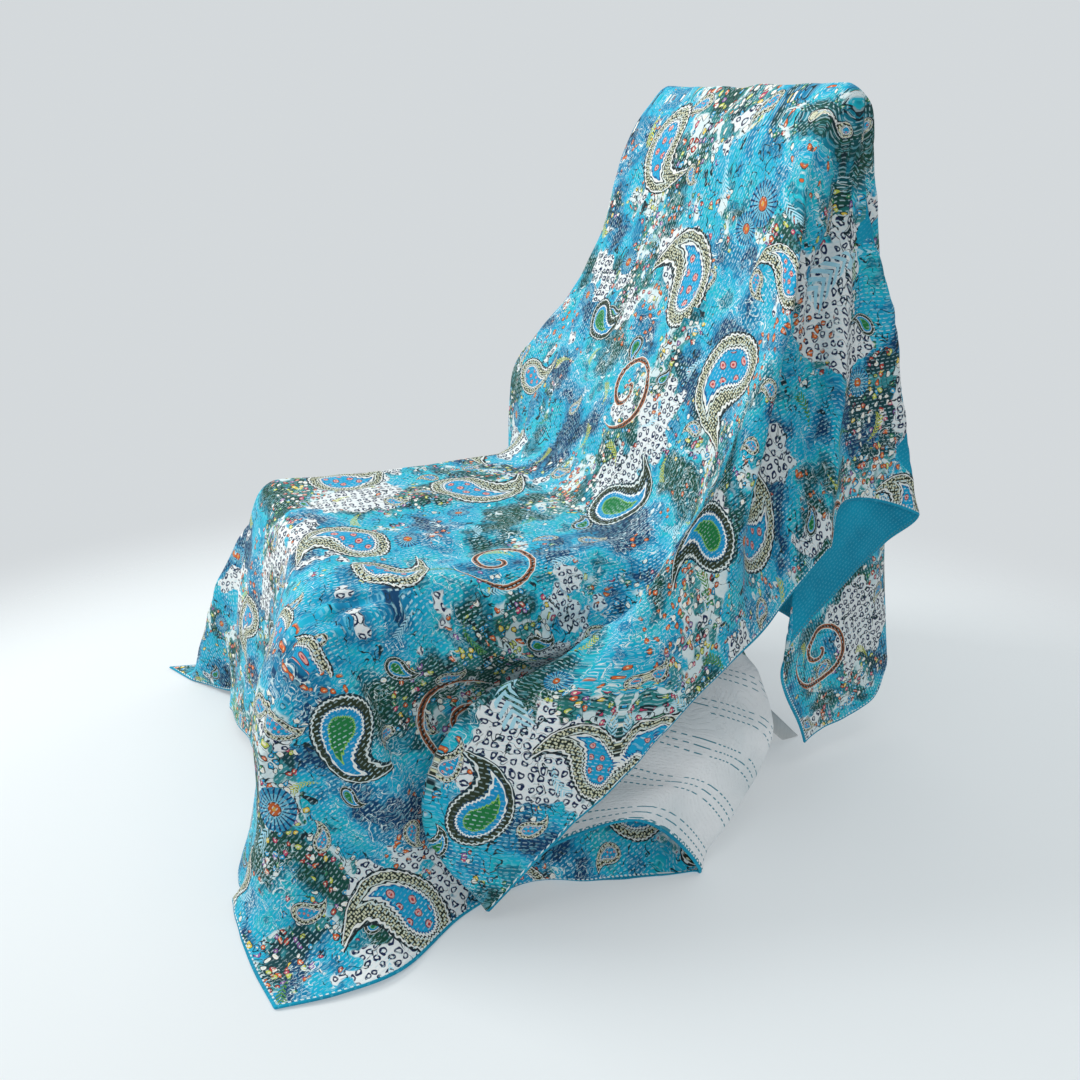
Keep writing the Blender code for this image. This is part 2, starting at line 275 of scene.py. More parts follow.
def cornerFolds(folds, past, shares, side):
    change = corner["dropChange"] * (corner["along"] + past - corner["seatEdgeAlong"])
    drop = corner["nearDrop"] + change if side > 0 else corner["farDrop"] - change
    across = shares * drop
    angle = np.degrees(np.arctan2(past, across))
    slope = spline([fold[1] for fold in folds], [fold[2:] for fold in folds], angle) * (side, 1, -1) / 100
    places = edgeLines(np.array([corner["along"], corner["along"] + past]), side)[1]
    straight = slope[0] * past
    reach = np.hypot(across, past)[:, None]
    plain = slope[-1] + (slope[0] - slope[-1]) * ((angle - angle[-1]) / (90 - angle[-1]))[:, None]
    slope = plain + (slope - plain) * np.clip(reach / corner["gatherLength"], 0, 1)
    blend = np.clip((angle - corner["edgeBlendFrom"]) / (90 - corner["edgeBlendFrom"]), 0, 1)[:, None]
    return places[0] + slope * reach + blend * (places[1] - places[0] - straight)


def acrossPlaces(sidePlaces, cellsTop):
    # places of the columns from the far hem to the near hem, and the two sides' own
    linePlaces = quilt["linePlaces"]
    farSide = sidePlaces * linePlaces[4]
    nearSide = linePlaces[-1] - sidePlaces[::-1] * (linePlaces[-1] - linePlaces[8])
    top = np.linspace(linePlaces[4], linePlaces[8], cellsTop + 1)
    return np.concatenate([farSide, top[1:-1], nearSide]), farSide, nearSide


def quiltSurface(rowPlaces, sidePlaces, cellsTop):
    # the middle of the cloth as a grid of points: rows along the quilt, columns across it
    along = rowPlaces * quilt["length"]
    beside = np.minimum(along, corner["along"])
    linePlaces = quilt["linePlaces"]
    lines = foldLines(quilt["farFolds"], beside)[::-1] + edgeLines(along, -1)[::-1] + [centreLine(along)]
    lines = np.array(lines + edgeLines(along, 1) + foldLines(quilt["nearFolds"], beside))
    across, farSide, nearSide = acrossPlaces(sidePlaces, cellsTop)
    grid = np.array([spline(linePlaces, lines[:, row], across, True) for row in range(len(along))])
    nearShares = np.interp(nearSide, linePlaces[8:], quilt["lineShares"])
    farShares = np.interp(-farSide[::-1], -np.array(linePlaces[4::-1]), quilt["lineShares"])
    for row in np.flatnonzero(along > corner["along"]):
        past = along[row] - corner["along"]
        grid[row, :len(farSide)] = cornerFolds(corner["far"], past, farShares, -1)[::-1]
        grid[row, -len(nearSide):] = cornerFolds(corner["near"], past, nearShares, 1)
    return (grid + quilt["middle"]) * cm


def closeAtHem(count, size, turned):
    # places along one side, with narrow cells across the turned hem
    plain = np.linspace(0, 1, count + 1)[1:]
    return np.concatenate([
        np.array(quilt["hemCells"]) * turned / size, plain[plain > quilt["hemSpace"] * turned / size]])


# the coarse copy that is pressed flat: its cells, and the rounds and strength of its springs
springs = {"rows": 66, "side": 12, "top": 10, "rounds": 1200, "strength": 0.12, "startLength": 0.97}


def layFlat(rowPlaces, columnPlaces):
    # presses a coarse copy of the cloth flat with springs of its own lengths, and gives metres across and along
    rows, side, top = springs["rows"], springs["side"], springs["top"]
    first, last, end = (quilt["linePlaces"][number] for number in (4, 8, -1))
    coarse = quiltSurface(np.linspace(0, 1, rows + 1), np.linspace(0, 1, side + 1), top)
    columns = coarse.shape[1]
    flat = np.zeros((rows + 1, columns, 2))
    widths = np.linalg.norm(np.diff(coarse, axis=1), axis=2).mean(axis=0)
    flat[:, 1:, 0] = np.cumsum(widths)
    flat[:, :, 0] -= flat[0, side + top // 2, 0]
    flat[:, :, 1] = np.linspace(0, quilt["length"] * cm * springs["startLength"], rows + 1)[:, None]
    pairs = []
    for rowStep, columnStep in ((1, 0), (0, 1), (1, 1), (1, -1)):
        one = (slice(0, rows + 1 - rowStep), slice(max(0, -columnStep), columns - max(0, columnStep)))
        two = (slice(rowStep, rows + 1), slice(max(0, columnStep), columns - max(0, -columnStep)))
        pairs.append((one, two, np.linalg.norm(coarse[one] - coarse[two], axis=2)))
    for step in range(springs["rounds"]):
        pull = np.zeros_like(flat)
        for one, two, length in pairs:
            gap = flat[two] - flat[one]
            now = np.linalg.norm(gap, axis=2)
            move = gap * (springs["strength"] * (now - length) / now)[:, :, None]
            pull[one] += move
            pull[two] -= move
        flat += pull
    flat[:, :, 0] -= flat[:, side + top // 2, 0].mean()
    wanted = spline(np.linspace(0, 1, rows + 1), flat.reshape(rows + 1, -1), rowPlaces)
    wanted = wanted.reshape(len(rowPlaces), columns, 2)
    coarsePlaces = np.concatenate([
        np.linspace(0, first, side + 1), np.linspace(first, last, top + 1)[1:-1],
        np.linspace(last, end, side + 1)])
    across = np.swapaxes(wanted, 0, 1).reshape(columns, -1)
    fine = spline(coarsePlaces, across, columnPlaces).reshape(len(columnPlaces), len(rowPlaces), 2)
    return np.swapaxes(fine, 0, 1)


# soft creases of the cloth: the line it follows in cm on the flat quilt, its width in cm and height in mm
creases = {
    # name, across and along where it starts, across and along where it ends, width, height
    "rows": (
        ("seat, far", -20, 54, -14, 96, 1.6, 4),
        ("seat, middle", -6, 52, -2, 99, 2.2, 4),
        ("seat, near", 8, 56, 16, 92, 1.8, 5),
        ("seat, slant", -24, 62, 4, 84, 2.0, 3),
        ("front, far", -16, 6, -13, 44, 2.4, 7),
        ("front, middle", 2, 8, 0, 46, 2.8, 8),
        ("front, near", 14, 4, 17, 42, 2.2, 6),
        ("back, far", -17, 106, -15, 166, 2.0, 4),
        ("back, middle", -3, 112, -5, 168, 2.6, 4),
        ("back, near", 12, 104, 13, 160, 2.0, 5),
        ("pleat, upper ridge", 20, 168.5, 40, 163, 1.6, 9),
        ("pleat, lower ridge", 30, 166, 56, 152, 1.6, 10),
        ("pleat, upper valley", 19, 173, 38, 167.5, 1.7, -14),
        ("pleat, lower valley", 29, 170.5, 54, 160, 1.8, -14),
        ("swag, start", 23, 50, 33, 62, 1.4, -13),
        ("swag, low", 30, 58, 40, 77, 1.6, -15),
        ("swag, end", 38, 71, 41, 94, 1.8, -12),
        ("swag lip, start", 19, 54, 29, 66, 2.2, 12),
        ("swag lip, end", 26, 62, 37, 86, 2.4, 13),
        ("corner, upper", 24, 51, 44, 44, 1.4, -12),
        ("corner, lower", 37, 47, 60, 38, 1.8, -13),
        ("corner lip", 26, 44, 52, 33, 2.4, 11),
        ("rear, far", -15, 182, -17, 250, 3.0, 9),
        ("rear, middle", 0, 186, 3, 254, 3.4, 10),
        ("rear, near", 14, 184, 15, 252, 2.8, 9),
    ),
    "sway": 0.8,  # the lines wander by this much of their width
    "swayTurn": 5,  # radians from end to end
    "ripple": ((5.5, 19, 3.0), (2.6, 8, 1.2)),  # across and along in cm, height in mm
    "across": (-130, 130),  # cm of the flat cloth that the ripple covers
    "along": 300,
    "seed": 7,
}


def creaseHeight(flat):
    across = flat[:, :, 0] / cm
    along = flat[:, :, 1] / cm
    height = np.zeros(across.shape)
    for name, u0, v0, u1, v1, width, tall in creases["rows"]:
        line = np.array([u1 - u0, v1 - v0], float)
        length = np.hypot(*line)
        share = ((across - u0) * line[0] + (along - v0) * line[1]) / length ** 2
        beside = ((across - u0) * line[1] - (along - v0) * line[0]) / length
        beside = beside + width * creases["sway"] * np.sin(share * creases["swayTurn"] + u0)
        ends = np.clip(share, 0, 1) * np.clip(1 - share, 0, 1) * 4
        height += tall * np.sqrt(ends) * np.exp(-(beside / width) ** 2)
    chance = np.random.default_rng(creases["seed"])
    low, high = creases["across"]
    for wide, long, tall in creases["ripple"]:
        rows, columns = int(creases["along"] / long) + 3, int((high - low) / wide) + 3
        heights = chance.normal(size=(rows, columns))
        v = np.clip(along / long + 1, 0, rows - 1.001)
        u = np.clip((across - low) / wide, 0, columns - 1.001)
        i, j = v.astype(int), u.astype(int)
        fv, fu = v - i, u - j
        fv, fu = fv * fv * (3 - 2 * fv), fu * fu * (3 - 2 * fu)
        near = heights[i, j] * (1 - fu) + heights[i, j + 1] * fu
        far = heights[i + 1, j] * (1 - fu) + heights[i + 1, j + 1] * fu
        height += tall * (near * (1 - fv) + far * fv)
    return height * mm


def gridNormals(grid):
    normals = np.cross(np.gradient(grid, axis=1), np.gradient(grid, axis=0))
    return normals / np.maximum(np.linalg.norm(normals, axis=2), 1e-9)[:, :, None]


# printed motifs on the flat quilt. Kinds: 1 teal paisley, 2 green teardrop, 3 starburst, 4 scroll, 5 fern
motifs = {
    "seed": 21,
    "across": (-100, 100),  # cm of the flat cloth that is printed
    "along": (-2, 268),
    "fields": ("bigMotif", "smallMotif"),
    "noMotif": (9.0, 9.0, 0.0),  # a place out of reach of any
    "margin": 0.9,  # cm that a motif's place is known past its reach
    "big": {"reach": (7.5, 11.0), "tries": 1500, "kinds": (1, 1, 2, 1, 5, 4, 1, 2), "gap": 0.8},
    "small": {"reach": (2.4, 3.8), "tries": 2200, "kinds": (1, 2, 5, 3, 5, 1, 5), "gap": 1.4},
    # across and along in cm, reach in cm, turn in radians, kind
    "placed": (
        (8, 147, 12, 0.15, 1),
        (18, 160, 5, 0, 3),
        (28, 156, 6.5, 0.5, 1),
        (-14, 131, 7, 3.7, 2),
        (24, 134, 12, 2.3, 1),
        (-3, 87, 12, -1.2, 1),
        (6, 60, 11, 1.9, 1),
        (24, 62, 8.5, -1.0, 1),
        (23, 45, 8, 0.9, 1),
        (34, 39, 9, 3.5, 2),
        (36, 26, 5, 0, 3),
        (25, 79, 8, 1, 4),
        (66, 96, 7.5, 2.0, 5),
        (71, 112, 9, 1.77, 1),
        (83, 100, 8, 0.5, 2),
        (62, 143, 10, -0.66, 1),
        (57, 31, 11, 1.3, 1),
        (33, 172, 8, 0.3, 5),
        (54, 92, 6, 1.2, 4),
    ),
    # where the grounds change: what grows there, across, along and reach in cm
    "grounds": (
        ("dots", 73, 103, 9),
        ("dots", 43, 170, 8),
        ("dots", 68, 124, 7),
        ("dots", 52, 27, 4),
        ("dots", 4, 146, 6),
        ("dots", 52, 246, 9),
        ("dots", 36, 88, 6),
        ("dots", -8, 62, 6),
        ("flowers", 32, 27, 8),
        ("flowers", 50, 13, 10),
        ("flowers", 60, 118, 8),
        ("flowers", 0, 168, 8),
        ("flowers", 26, 157, 7),
        ("flowers", 45, 74, 8),
        ("flowers", 56, 180, 9),
        ("flowers", -4, 44, 7),
        ("plain", 21, 148, 7),
        ("plain", 24, 140, 5),
        ("plain", 41, 18, 9),
        ("plain", 54, 106, 9),
        ("plain", 14, 92, 8),
        ("plain", 38, 186, 10),
        ("plain", 42, 40, 10),
        ("plain", 20, 70, 7),
        ("plain", 30, 108, 8),
        ("plain", -10, 118, 9),
        ("plain", 44, 215, 10),
        ("plain", 10, 30, 9),
        ("plain", -4, 128, 6),
        ("plain", 78, 60, 9),
    ),
}


def scatterMotifs(kind, chance, placed=()):
    # throws motifs on the cloth and keeps those that touch no other: across, along, reach, turn, kind
    kept = list(placed)
    for attempt in range(kind["tries"]):
        across, along = chance.uniform(*motifs["across"]), chance.uniform(*motifs["along"])
        reach = chance.uniform(*kind["reach"])
        turn = chance.uniform(0, 2 * math.pi)
        sort = kind["kinds"][chance.integers(len(kind["kinds"]))]
        if all(math.hypot(across - m[0], along - m[1]) > reach + m[2] + kind["gap"] for m in kept):
            kept.append((across, along, reach, turn, sort))
    return np.array(kept)


def groundStrengths(flat):
    # how strongly dots, flowers or a plain ground take over at each point
    strengths = np.zeros((len(flat), 3))
    names = ("dots", "flowers", "plain")
    for name, across, along, reach in motifs["grounds"]:
        out = np.hypot(flat[:, 0] / cm - across, flat[:, 1] / cm - along)
        column = names.index(name)
        strengths[:, column] = np.maximum(strengths[:, column], np.exp(-(out / reach) ** 4))
    return strengths


def motifPlaces(corners, kept, chance):
    # for each face's corners, the place in its nearest motif: x, y in reaches, and the kind
    # plus a chance number
    middle = corners.mean(axis=1) / cm
    places = np.full(corners.shape[:2] + (3,), motifs["noMotif"])
    numbers = chance.uniform(0.05, 0.95, len(kept))
    for motif, number in zip(kept, numbers):
        across, along, reach, turn, sort = motif
        inside = np.hypot(middle[:, 0] - across, middle[:, 1] - along) < reach + motifs["margin"]
        local = (corners[inside] / cm - (across, along)) / reach
        places[inside, :, 0] = local[:, :, 0] * math.cos(turn) + local[:, :, 1] * math.sin(turn)
        places[inside, :, 1] = local[:, :, 1] * math.cos(turn) - local[:, :, 0] * math.sin(turn)
        places[inside, :, 2] = sort + number
    return places


def quiltMesh():
    hem = quilt["hemWidth"] / cm
    rowPlaces = closeAtHem(quilt["cellsAlong"] // 2, quilt["length"] / 2, hem) / 2
    rowPlaces = np.concatenate([rowPlaces, 1 - rowPlaces[-2::-1]])
    sidePlaces = closeAtHem(quilt["cellsSide"], quilt["sideLength"], hem)
    grid = quiltSurface(rowPlaces, sidePlaces, quilt["cellsTop"])
    columnPlaces = acrossPlaces(sidePlaces, quilt["cellsTop"])[0]
    flat = layFlat(rowPlaces, columnPlaces)
    spans = [round(float(np.ptp(flat[:, :, axis])), 2) for axis in (0, 1)]
    print("laid flat:", spans[0], "by", spans[1], "m")
    rows, columns = grid.shape[:2]
    grid = grid + gridNormals(grid) * creaseHeight(flat)[:, :, None]
    normals = gridNormals(grid)
    lowest = quilt["floorGap"] + quilt["hemThickness"] / 2
    grid[:, :, 2] = np.maximum(grid[:, :, 2], lowest)
    # distance to the nearest hem along the cloth, in metres
    rowSteps = np.linalg.norm(np.diff(grid, axis=1), axis=2)
    columnSteps = np.linalg.norm(np.diff(grid, axis=0), axis=2)
    alongRow = np.concatenate([np.zeros((rows, 1)), np.cumsum(rowSteps, axis=1)], axis=1)
    alongColumn = np.concatenate([np.zeros((1, columns)), np.cumsum(columnSteps, axis=0)])
    sideGap = np.minimum(alongRow, alongRow[:, -1:] - alongRow)
    endGap = np.minimum(alongColumn, alongColumn[-1:] - alongColumn)
    hemGap = np.minimum(sideGap, endGap)
    besideHem = np.where(sideGap < endGap, flat[:, :, 1], flat[:, :, 0])
    turned = 0.5 - 0.5 * np.tanh((hemGap - quilt["hemWidth"]) / quilt["hemStep"])
    half = (quilt["thickness"] + (quilt["hemThickness"] - quilt["thickness"]) * turned)[:, :, None] / 2
    index = np.arange(rows * columns).reshape(rows, columns)
    ring = np.concatenate([index[0, :-1], index[:-1, -1], index[-1, :0:-1], index[:0:-1, 0]])
    flatGrid, flatFlat = grid.reshape(-1, 3), flat.reshape(-1, 2)
    inward = np.zeros_like(grid)
    inward[0], inward[-1] = grid[1] - grid[0], grid[-2] - grid[-1]
    inward[1:-1, 0], inward[1:-1, -1] = (grid[:, 1] - grid[:, 0])[1:-1], (grid[:, -2] - grid[:, -1])[1:-1]
    inward = inward.reshape(-1, 3)[ring]
    inward /= np.linalg.norm(inward, axis=1)[:, None]
    front, back = (grid + normals * half).reshape(-1, 3), (grid - normals * half).reshape(-1, 3)
    rim = flatGrid[ring] - inward * half.reshape(-1, 1)[ring]
    points = np.concatenate([front, back, rim])
    points[:, 2] = np.maximum(points[:, 2], quilt["floorGap"])
    count = rows * columns
    quads = np.stack([index[:-1, :-1], index[:-1, 1:], index[1:, 1:], index[1:, :-1]], axis=-1).reshape(-1, 4)
    nextRing = np.roll(ring, -1)
    rimIndex = 2 * count + np.arange(len(ring))
    nextRim = np.roll(rimIndex, -1)
    over = np.stack([nextRing, ring, rimIndex, nextRim], axis=-1)
    under = np.stack([nextRim, rimIndex, ring + count, nextRing + count], axis=-1)
    faces = np.concatenate([quads, quads[:, ::-1] + count, over, under])
    mesh = bpy.data.meshes.new("quiltCloth")
    mesh.from_pydata(points.tolist(), [], faces.tolist())
    mesh.shade_smooth()
    flatAll = np.concatenate([flatFlat, flatFlat, flatFlat[ring]])
    side = np.concatenate([np.zeros(count), np.ones(count), np.zeros(len(ring))])
    place = np.column_stack([flatAll, side])
    mesh.attributes.new("flatPlace", "FLOAT_VECTOR", "POINT").data.foreach_set("vector", place.ravel())
    hems = np.column_stack([hemGap.ravel(), besideHem.ravel(), np.zeros(count)])
    hems = np.concatenate([hems, hems, hems[ring]])
    mesh.attributes.new("hemPlace", "FLOAT_VECTOR", "POINT").data.foreach_set("vector", hems.ravel())
    grounds = mesh.attributes.new("grounds", "FLOAT_VECTOR", "POINT")
    grounds.data.foreach_set("vector", groundStrengths(flatAll).ravel())
    chance = np.random.default_rng(motifs["seed"])
    corners = flatAll[faces]
    for name, sort in zip(motifs["fields"], ("big", "small")):
        kept = scatterMotifs(motifs[sort], chance, motifs["placed"] if sort == "big" else ())
        places = motifPlaces(corners, kept, chance)
        mesh.attributes.new(name, "FLOAT_VECTOR", "CORNER").data.foreach_set("vector", places.ravel())
        print(name, len(kept), "motifs")
    # the painting map: the print on the left half, the reverse on the right
    edge, wide, tall, reverse, rimWidth = quilt["paintMap"]
    low, size = flatFlat.min(axis=0), np.ptp(flatFlat, axis=0)
    spread = (flatAll - low) / size
    painted = np.column_stack([edge + spread[:, 0] * wide, edge + spread[:, 1] * tall])
    painted[count:2 * count, 0] += reverse
    uv = painted[faces]
    centre = painted[:count].mean(axis=0)
    outward = np.sign(painted[ring] - centre) * rimWidth
    for part, start in ((over, len(quads) * 2), (under, len(quads) * 2 + len(over))):
        here = uv[start:start + len(part)]
        shift = (reverse, 0) if start > len(quads) * 2 else (0, 0)
        for number, vertex in enumerate(part.T):
            isRim = vertex >= 2 * count
            if isRim.any():
                own = vertex - 2 * count
                here[:, number] = painted[ring][own] + outward[own] + shift
    mesh.uv_layers.new(name="OFBake").uv.foreach_set("vector", uv.reshape(-1, 2).ravel())
    return mesh


# the print, its stitching and the backing: colours, and real sizes from one to the next
cotton = {
    "ground": (
        (0.0, "#02203A"), (0.375, "#03406A"), (0.39, "#0277A2"), (0.435, "#0282AE"), (0.448, "#00A6CC"),
        (0.50, "#08AECE"), (0.545, "#14B8C8"), (0.558, "#02829C"), (0.592, "#027488"), (0.602, "#034C54"),
        (0.66, "#0A4636"),
    ),
    "dash": "#8ADCEC",
    "flowerPaper": (
        (0.40, "#0D444A"), (0.415, "#2F8590"), (0.46, "#3E9A9E"), (0.472, "#E2EEEE"), (0.535, "#D3E6E8"),
        (0.55, "#2E8A8E"), (0.60, "#23706C"), (0.61, "#164E44"),
    ),
    "petals": (
        (0.0, "#C3CF58"), (0.12, "#D8622E"), (0.19, "#F1F2EC"), (0.42, "#C2456A"), (0.50, "#1FA3D4"),
        (0.68, "#E6C94B"), (0.75, "#8E62A8"), (0.82, "#2C8A5E"), (0.91, "#B8433A"),
    ),
    "petalRim": "#27363A",
    "petalEye": "#F2E7C8",
    "floretGap": 11 * mm,
    "dotPaper": "#E9EEEE",
    "dotRing": "#16264C",
    "dotGap": 14 * mm,
    "tendril": "#102C34",
    "lace": "#DDEBEA",
    "sprayGap": 19 * mm,
    # reach from the spray's middle, colour
    "spray": ((0.24, "#3A3A36"), (0.19, "#D9652F"), (0.07, "#F3D9A0")),
    "tealDrop": (
        (0.0, "#12A2D0"), (0.46, "#0B5F96"), (0.50, "#EDEFEA"), (0.56, "#1B2A2C"), (0.60, "#DCE6DC"),
        (0.64, "#2A3226"), (0.88, "#EDEFEA"), (0.93, "#1D2B30"),
    ),
    "greenDrop": (
        (0.0, "#1C7A40"), (0.36, "#8CC25A"), (0.40, "#0E93C8"), (0.58, "#F0F2EE"), (0.64, "#12405E"),
        (0.68, "#2E3A2A"), (0.88, "#E2EAE6"), (0.93, "#14343E"),
    ),
    "dropSpeck": "#D6D8B8",
    "speckGap": 4.4 * mm,
    "dropBuds": ((0.29, "#7A2430"), (0.22, "#E9A7A0"), (0.10, "#B8323A")),
    # field of motifs, how far their tips curl, how long the tips are
    "dropShapes": (("smallMotif", 0.7, 0.8), ("bigMotif", 1.05, 1.0)),
    "burst": ((0.0, "#D9A24A"), (0.07, "#C4602E"), (0.19, "#5A2E24"), (0.22, "#6CBAD4"), (0.46, "#2F93BC")),
    "burstRays": 22.0,
    "burstRay": "#12305A",
    # how far up the spiral's wave, colour
    "scroll": ((0.72, "#E8ECE4"), (0.84, "#A8603A"), (0.97, "#3A2C22")),
    "fern": ((0.0, "#C4CC4E"), (0.5, "#A9DCEB"), (0.75, "#4E8C3E")),
    "thread": "#CDEBF2",
    # gap between rows, length of a stitch and its gap, share that shows, half width in rows
    "printStitch": (6 * mm, 9 * mm, 0.62, 0.17),
    "backStitch": (12.33 * mm, 11 * mm, 0.6, 0.10),
    "backGroup": 74 * mm,  # three rows, then a plain band as wide
    "backThread": "#2F8496",
    "whitePanel": ((0.3, "#E2E8EA"), (0.7, "#F4F6F7")),
    "panelFrom": 0.30,  # metres across, where the panel starts
    "panelMiddle": 0.85,  # metres along
    "panelHalf": 0.42,
    "turquoise": ((0.3, "#0483A4"), (0.7, "#0AA0C2")),
    "turquoiseThread": "#5CC4DB",
    "turnedEdge": 3 * mm,
    "whipPitch": 7 * mm,
    "whipIn": 4 * mm,
    "whipHalf": 1.3 * mm,
    "whipFront": "#DCE9EA",
    "whipBack": "#4C8C9A",
    "weaveGap": 1.2 * mm,  # the real threads, 0.3 mm apart, are too fine to show
    "puckerDepth": 1.8 * mm,
}


def paisleyShape():
    # how far out a place lies in a drop with a curled tip: 0 in its middle, 1 on its outline
    tree = bpy.data.node_groups.new("paisleyShape", "ShaderNodeTree")
    tree.interface.new_socket("place", in_out="INPUT", socket_type="NodeSocketVector")
    for name in ("curl", "tip"):
        tree.interface.new_socket(name, in_out="INPUT", socket_type="NodeSocketFloat")
    for name in ("reach", "angle"):
        tree.interface.new_socket(name, in_out="OUTPUT", socket_type="NodeSocketFloat")
    given = addNode(tree, "NodeGroupInput").outputs
    slim = addNode(tree, "VectorMath", (given["place"], (1.28, 1.0, 1.0)), "MULTIPLY")
    moved = addNode(tree, "VectorMath", (slim, (0.0, 0.36, 0.0)), "ADD")
    x, y = addNode(tree, "SeparateXYZ", (moved,)).outputs[:2]
    out = addNode(tree, "VectorMath", (moved,), "LENGTH")
    angle = addNode(tree, "Math", (x, y), "ARCTAN2")
    bent = addNode(tree, "Math", (out, given["curl"], angle), "MULTIPLY_ADD")
    turn = addNode(tree, "Math", (bent, math.pi, -math.pi), "WRAP")
    beside = addNode(tree, "Math", (turn,), "ABSOLUTE")
    fall = addNode(tree, "Math", (beside, -3.0), "MULTIPLY")
    peak = addNode(tree, "Math", (fall,), "EXPONENT")
    radius = addNode(tree, "Math", (peak, given["tip"], 0.56), "MULTIPLY_ADD")
    reach = addNode(tree, "Math", (out, radius), "DIVIDE")
    addNode(tree, "NodeGroupOutput", {"reach": reach, "angle": turn})
    return tree


def layOver(tree, paint, colour, *masks):
    # the paint with a colour laid over it where all the masks meet
    mask = masks[0]
    for other in masks[1:]:
        mask = addNode(tree, "Math", (mask, other), "MULTIPLY")
    return addNode(tree, "Mix", {0: mask, 6: paint, 7: colour}, "RGBA")


def printGround(tree, drawn, patch):
    # patches of cerulean, turquoise, deep blue and teal green, with brush dashes of 3 by 10 mm on them
    paint = addNode(tree, "ValToRGB", (patch,), stops=cotton["ground"])
    streak = addNode(tree, "VectorMath", (drawn, (330.0, 95.0, 0.0)), "MULTIPLY")
    dash = addNode(tree, "TexNoise", {"Vector": streak, "Scale": 1.0, "Detail": 1.5}, "2D")
    shown = addNode(tree, "MapRange", (dash, 0.56, 0.62, 0.0, 0.34))
    return layOver(tree, paint, cotton["dash"], shown)


def printZones(tree, drawn):
    # how far each place belongs to the flowers, the ring dots and the line work, and the sprays' own patches
    noise = {"Vector": drawn, "Scale": 6.0, "Detail": 3.0, "Roughness": 0.6}
    zone = addNode(tree, "TexNoise", noise, "2D")
    red, green, blue = addNode(tree, "SeparateColor", (zone.outputs["Color"],)).outputs
    grounds = addNode(tree, "Attribute", attribute_name="grounds").outputs["Vector"]
    plainness = addNode(tree, "SeparateXYZ", (grounds,)).outputs[2]
    grown = addNode(tree, "VectorMath", (grounds, (0.17, 0.17, 0.0)), "MULTIPLY")
    dots, flowers, plain = addNode(tree, "SeparateXYZ", (grown,)).outputs
    flowerZone = addNode(tree, "Math", (red, flowers), "ADD")
    flowerZone = addNode(tree, "Math", (plainness, -0.2, flowerZone), "MULTIPLY_ADD")
    dotZone = addNode(tree, "Math", (green, dots), "ADD")
    dotZone = addNode(tree, "Math", (plainness, -0.2, dotZone), "MULTIPLY_ADD")
    lineZone = addNode(tree, "Math", (plainness, -0.12, blue), "MULTIPLY_ADD")
    return flowerZone, dotZone, lineZone, blue


def printFlorets(tree, paint, drawn, patch, flowerZone):
    # small flowers in every colour of the print, on paper of their own where they are thick
    cells = {"Vector": drawn, "Scale": 1 / cotton["floretGap"], "Randomness": 0.9}
    floret = addNode(tree, "TexVoronoi", cells, "2D").outputs
    red, green, blue = addNode(tree, "SeparateColor", (floret["Color"],)).outputs
    petal = addNode(tree, "ValToRGB", (red,), "CONSTANT", stops=cotton["petals"])
    thick = addNode(tree, "MapRange", (flowerZone, 0.56, 0.585))
    paper = addNode(tree, "ValToRGB", (patch,), stops=cotton["flowerPaper"])
    paint = layOver(tree, paint, paper, thick)
    opened = addNode(tree, "Math", (green, 0.30), "GREATER_THAN")
    spread = addNode(tree, "MapRange", (flowerZone, 0.48, 0.60, 0.0, 1.0))
    few = addNode(tree, "Math", (blue, spread), "LESS_THAN")
    shown = addNode(tree, "Math", (opened, few), "MULTIPLY")
    for outer, inner, colour in (
            (0.46, 0.42, cotton["petalRim"]), (0.35, 0.31, petal), (0.14, 0.10, cotton["petalEye"])):
        disc = addNode(tree, "MapRange", (floret["Distance"], outer, inner))
        paint = layOver(tree, paint, colour, disc, shown)
    return paint


def printRingDots(tree, paint, drawn, dotZone):
    # white grounds with navy rings, 9 mm across
    white = addNode(tree, "MapRange", (dotZone, 0.585, 0.595))
    paint = layOver(tree, paint, cotton["dotPaper"], white)
    cells = {"Vector": drawn, "Scale": 1 / cotton["dotGap"], "Randomness": 0.28}
    ring = addNode(tree, "TexVoronoi", cells, "2D").outputs["Distance"]
    off = addNode(tree, "Math", (ring, 0.25), "SUBTRACT")
    off = addNode(tree, "Math", (off,), "ABSOLUTE")
    shown = addNode(tree, "MapRange", (off, 0.115, 0.085))
    return layOver(tree, paint, cotton["dotRing"], shown, white)


def printLines(tree, paint, drawn, lineZone):
    # filigree: thin dark tendrils that wander between the motifs, and a pale lace of the same hand
    noise = {"Vector": drawn, "Scale": 42.0, "Detail": 1.5, "Distortion": 0.6}
    tendril = addNode(tree, "TexNoise", noise, "2D")
    tendril = addNode(tree, "Math", (tendril, 0.5), "SUBTRACT")
    tendril = addNode(tree, "Math", (tendril,), "ABSOLUTE")
    tendril = addNode(tree, "MapRange", (tendril, 0.018, 0.010))
    where = addNode(tree, "MapRange", (lineZone, 0.46, 0.49))
    paint = layOver(tree, paint, cotton["tendril"], tendril, where)
    noise = {"Vector": drawn, "Scale": 55.0, "Detail": 1.0, "Distortion": 1.2}
    lace = addNode(tree, "TexNoise", noise, "2D")
    lace = addNode(tree, "Math", (lace, 0.5, 0.012), "COMPARE")
    where = addNode(tree, "MapRange", (lineZone, 0.47, 0.44))
    return layOver(tree, paint, cotton["lace"], lace, where)


def printSprays(tree, paint, drawn, patches):
    # orange berries with a dark rim
    cells = {"Vector": drawn, "Scale": 1 / cotton["sprayGap"], "Randomness": 0.8}
    spray = addNode(tree, "TexVoronoi", cells, "2D").outputs["Distance"]
    where = addNode(tree, "MapRange", (patches, 0.39, 0.37))
    for reach, colour in cotton["spray"]:
        dot = addNode(tree, "MapRange", (spray, reach, reach - 0.03))
        paint = layOver(tree, paint, colour, dot, where)
    return paint


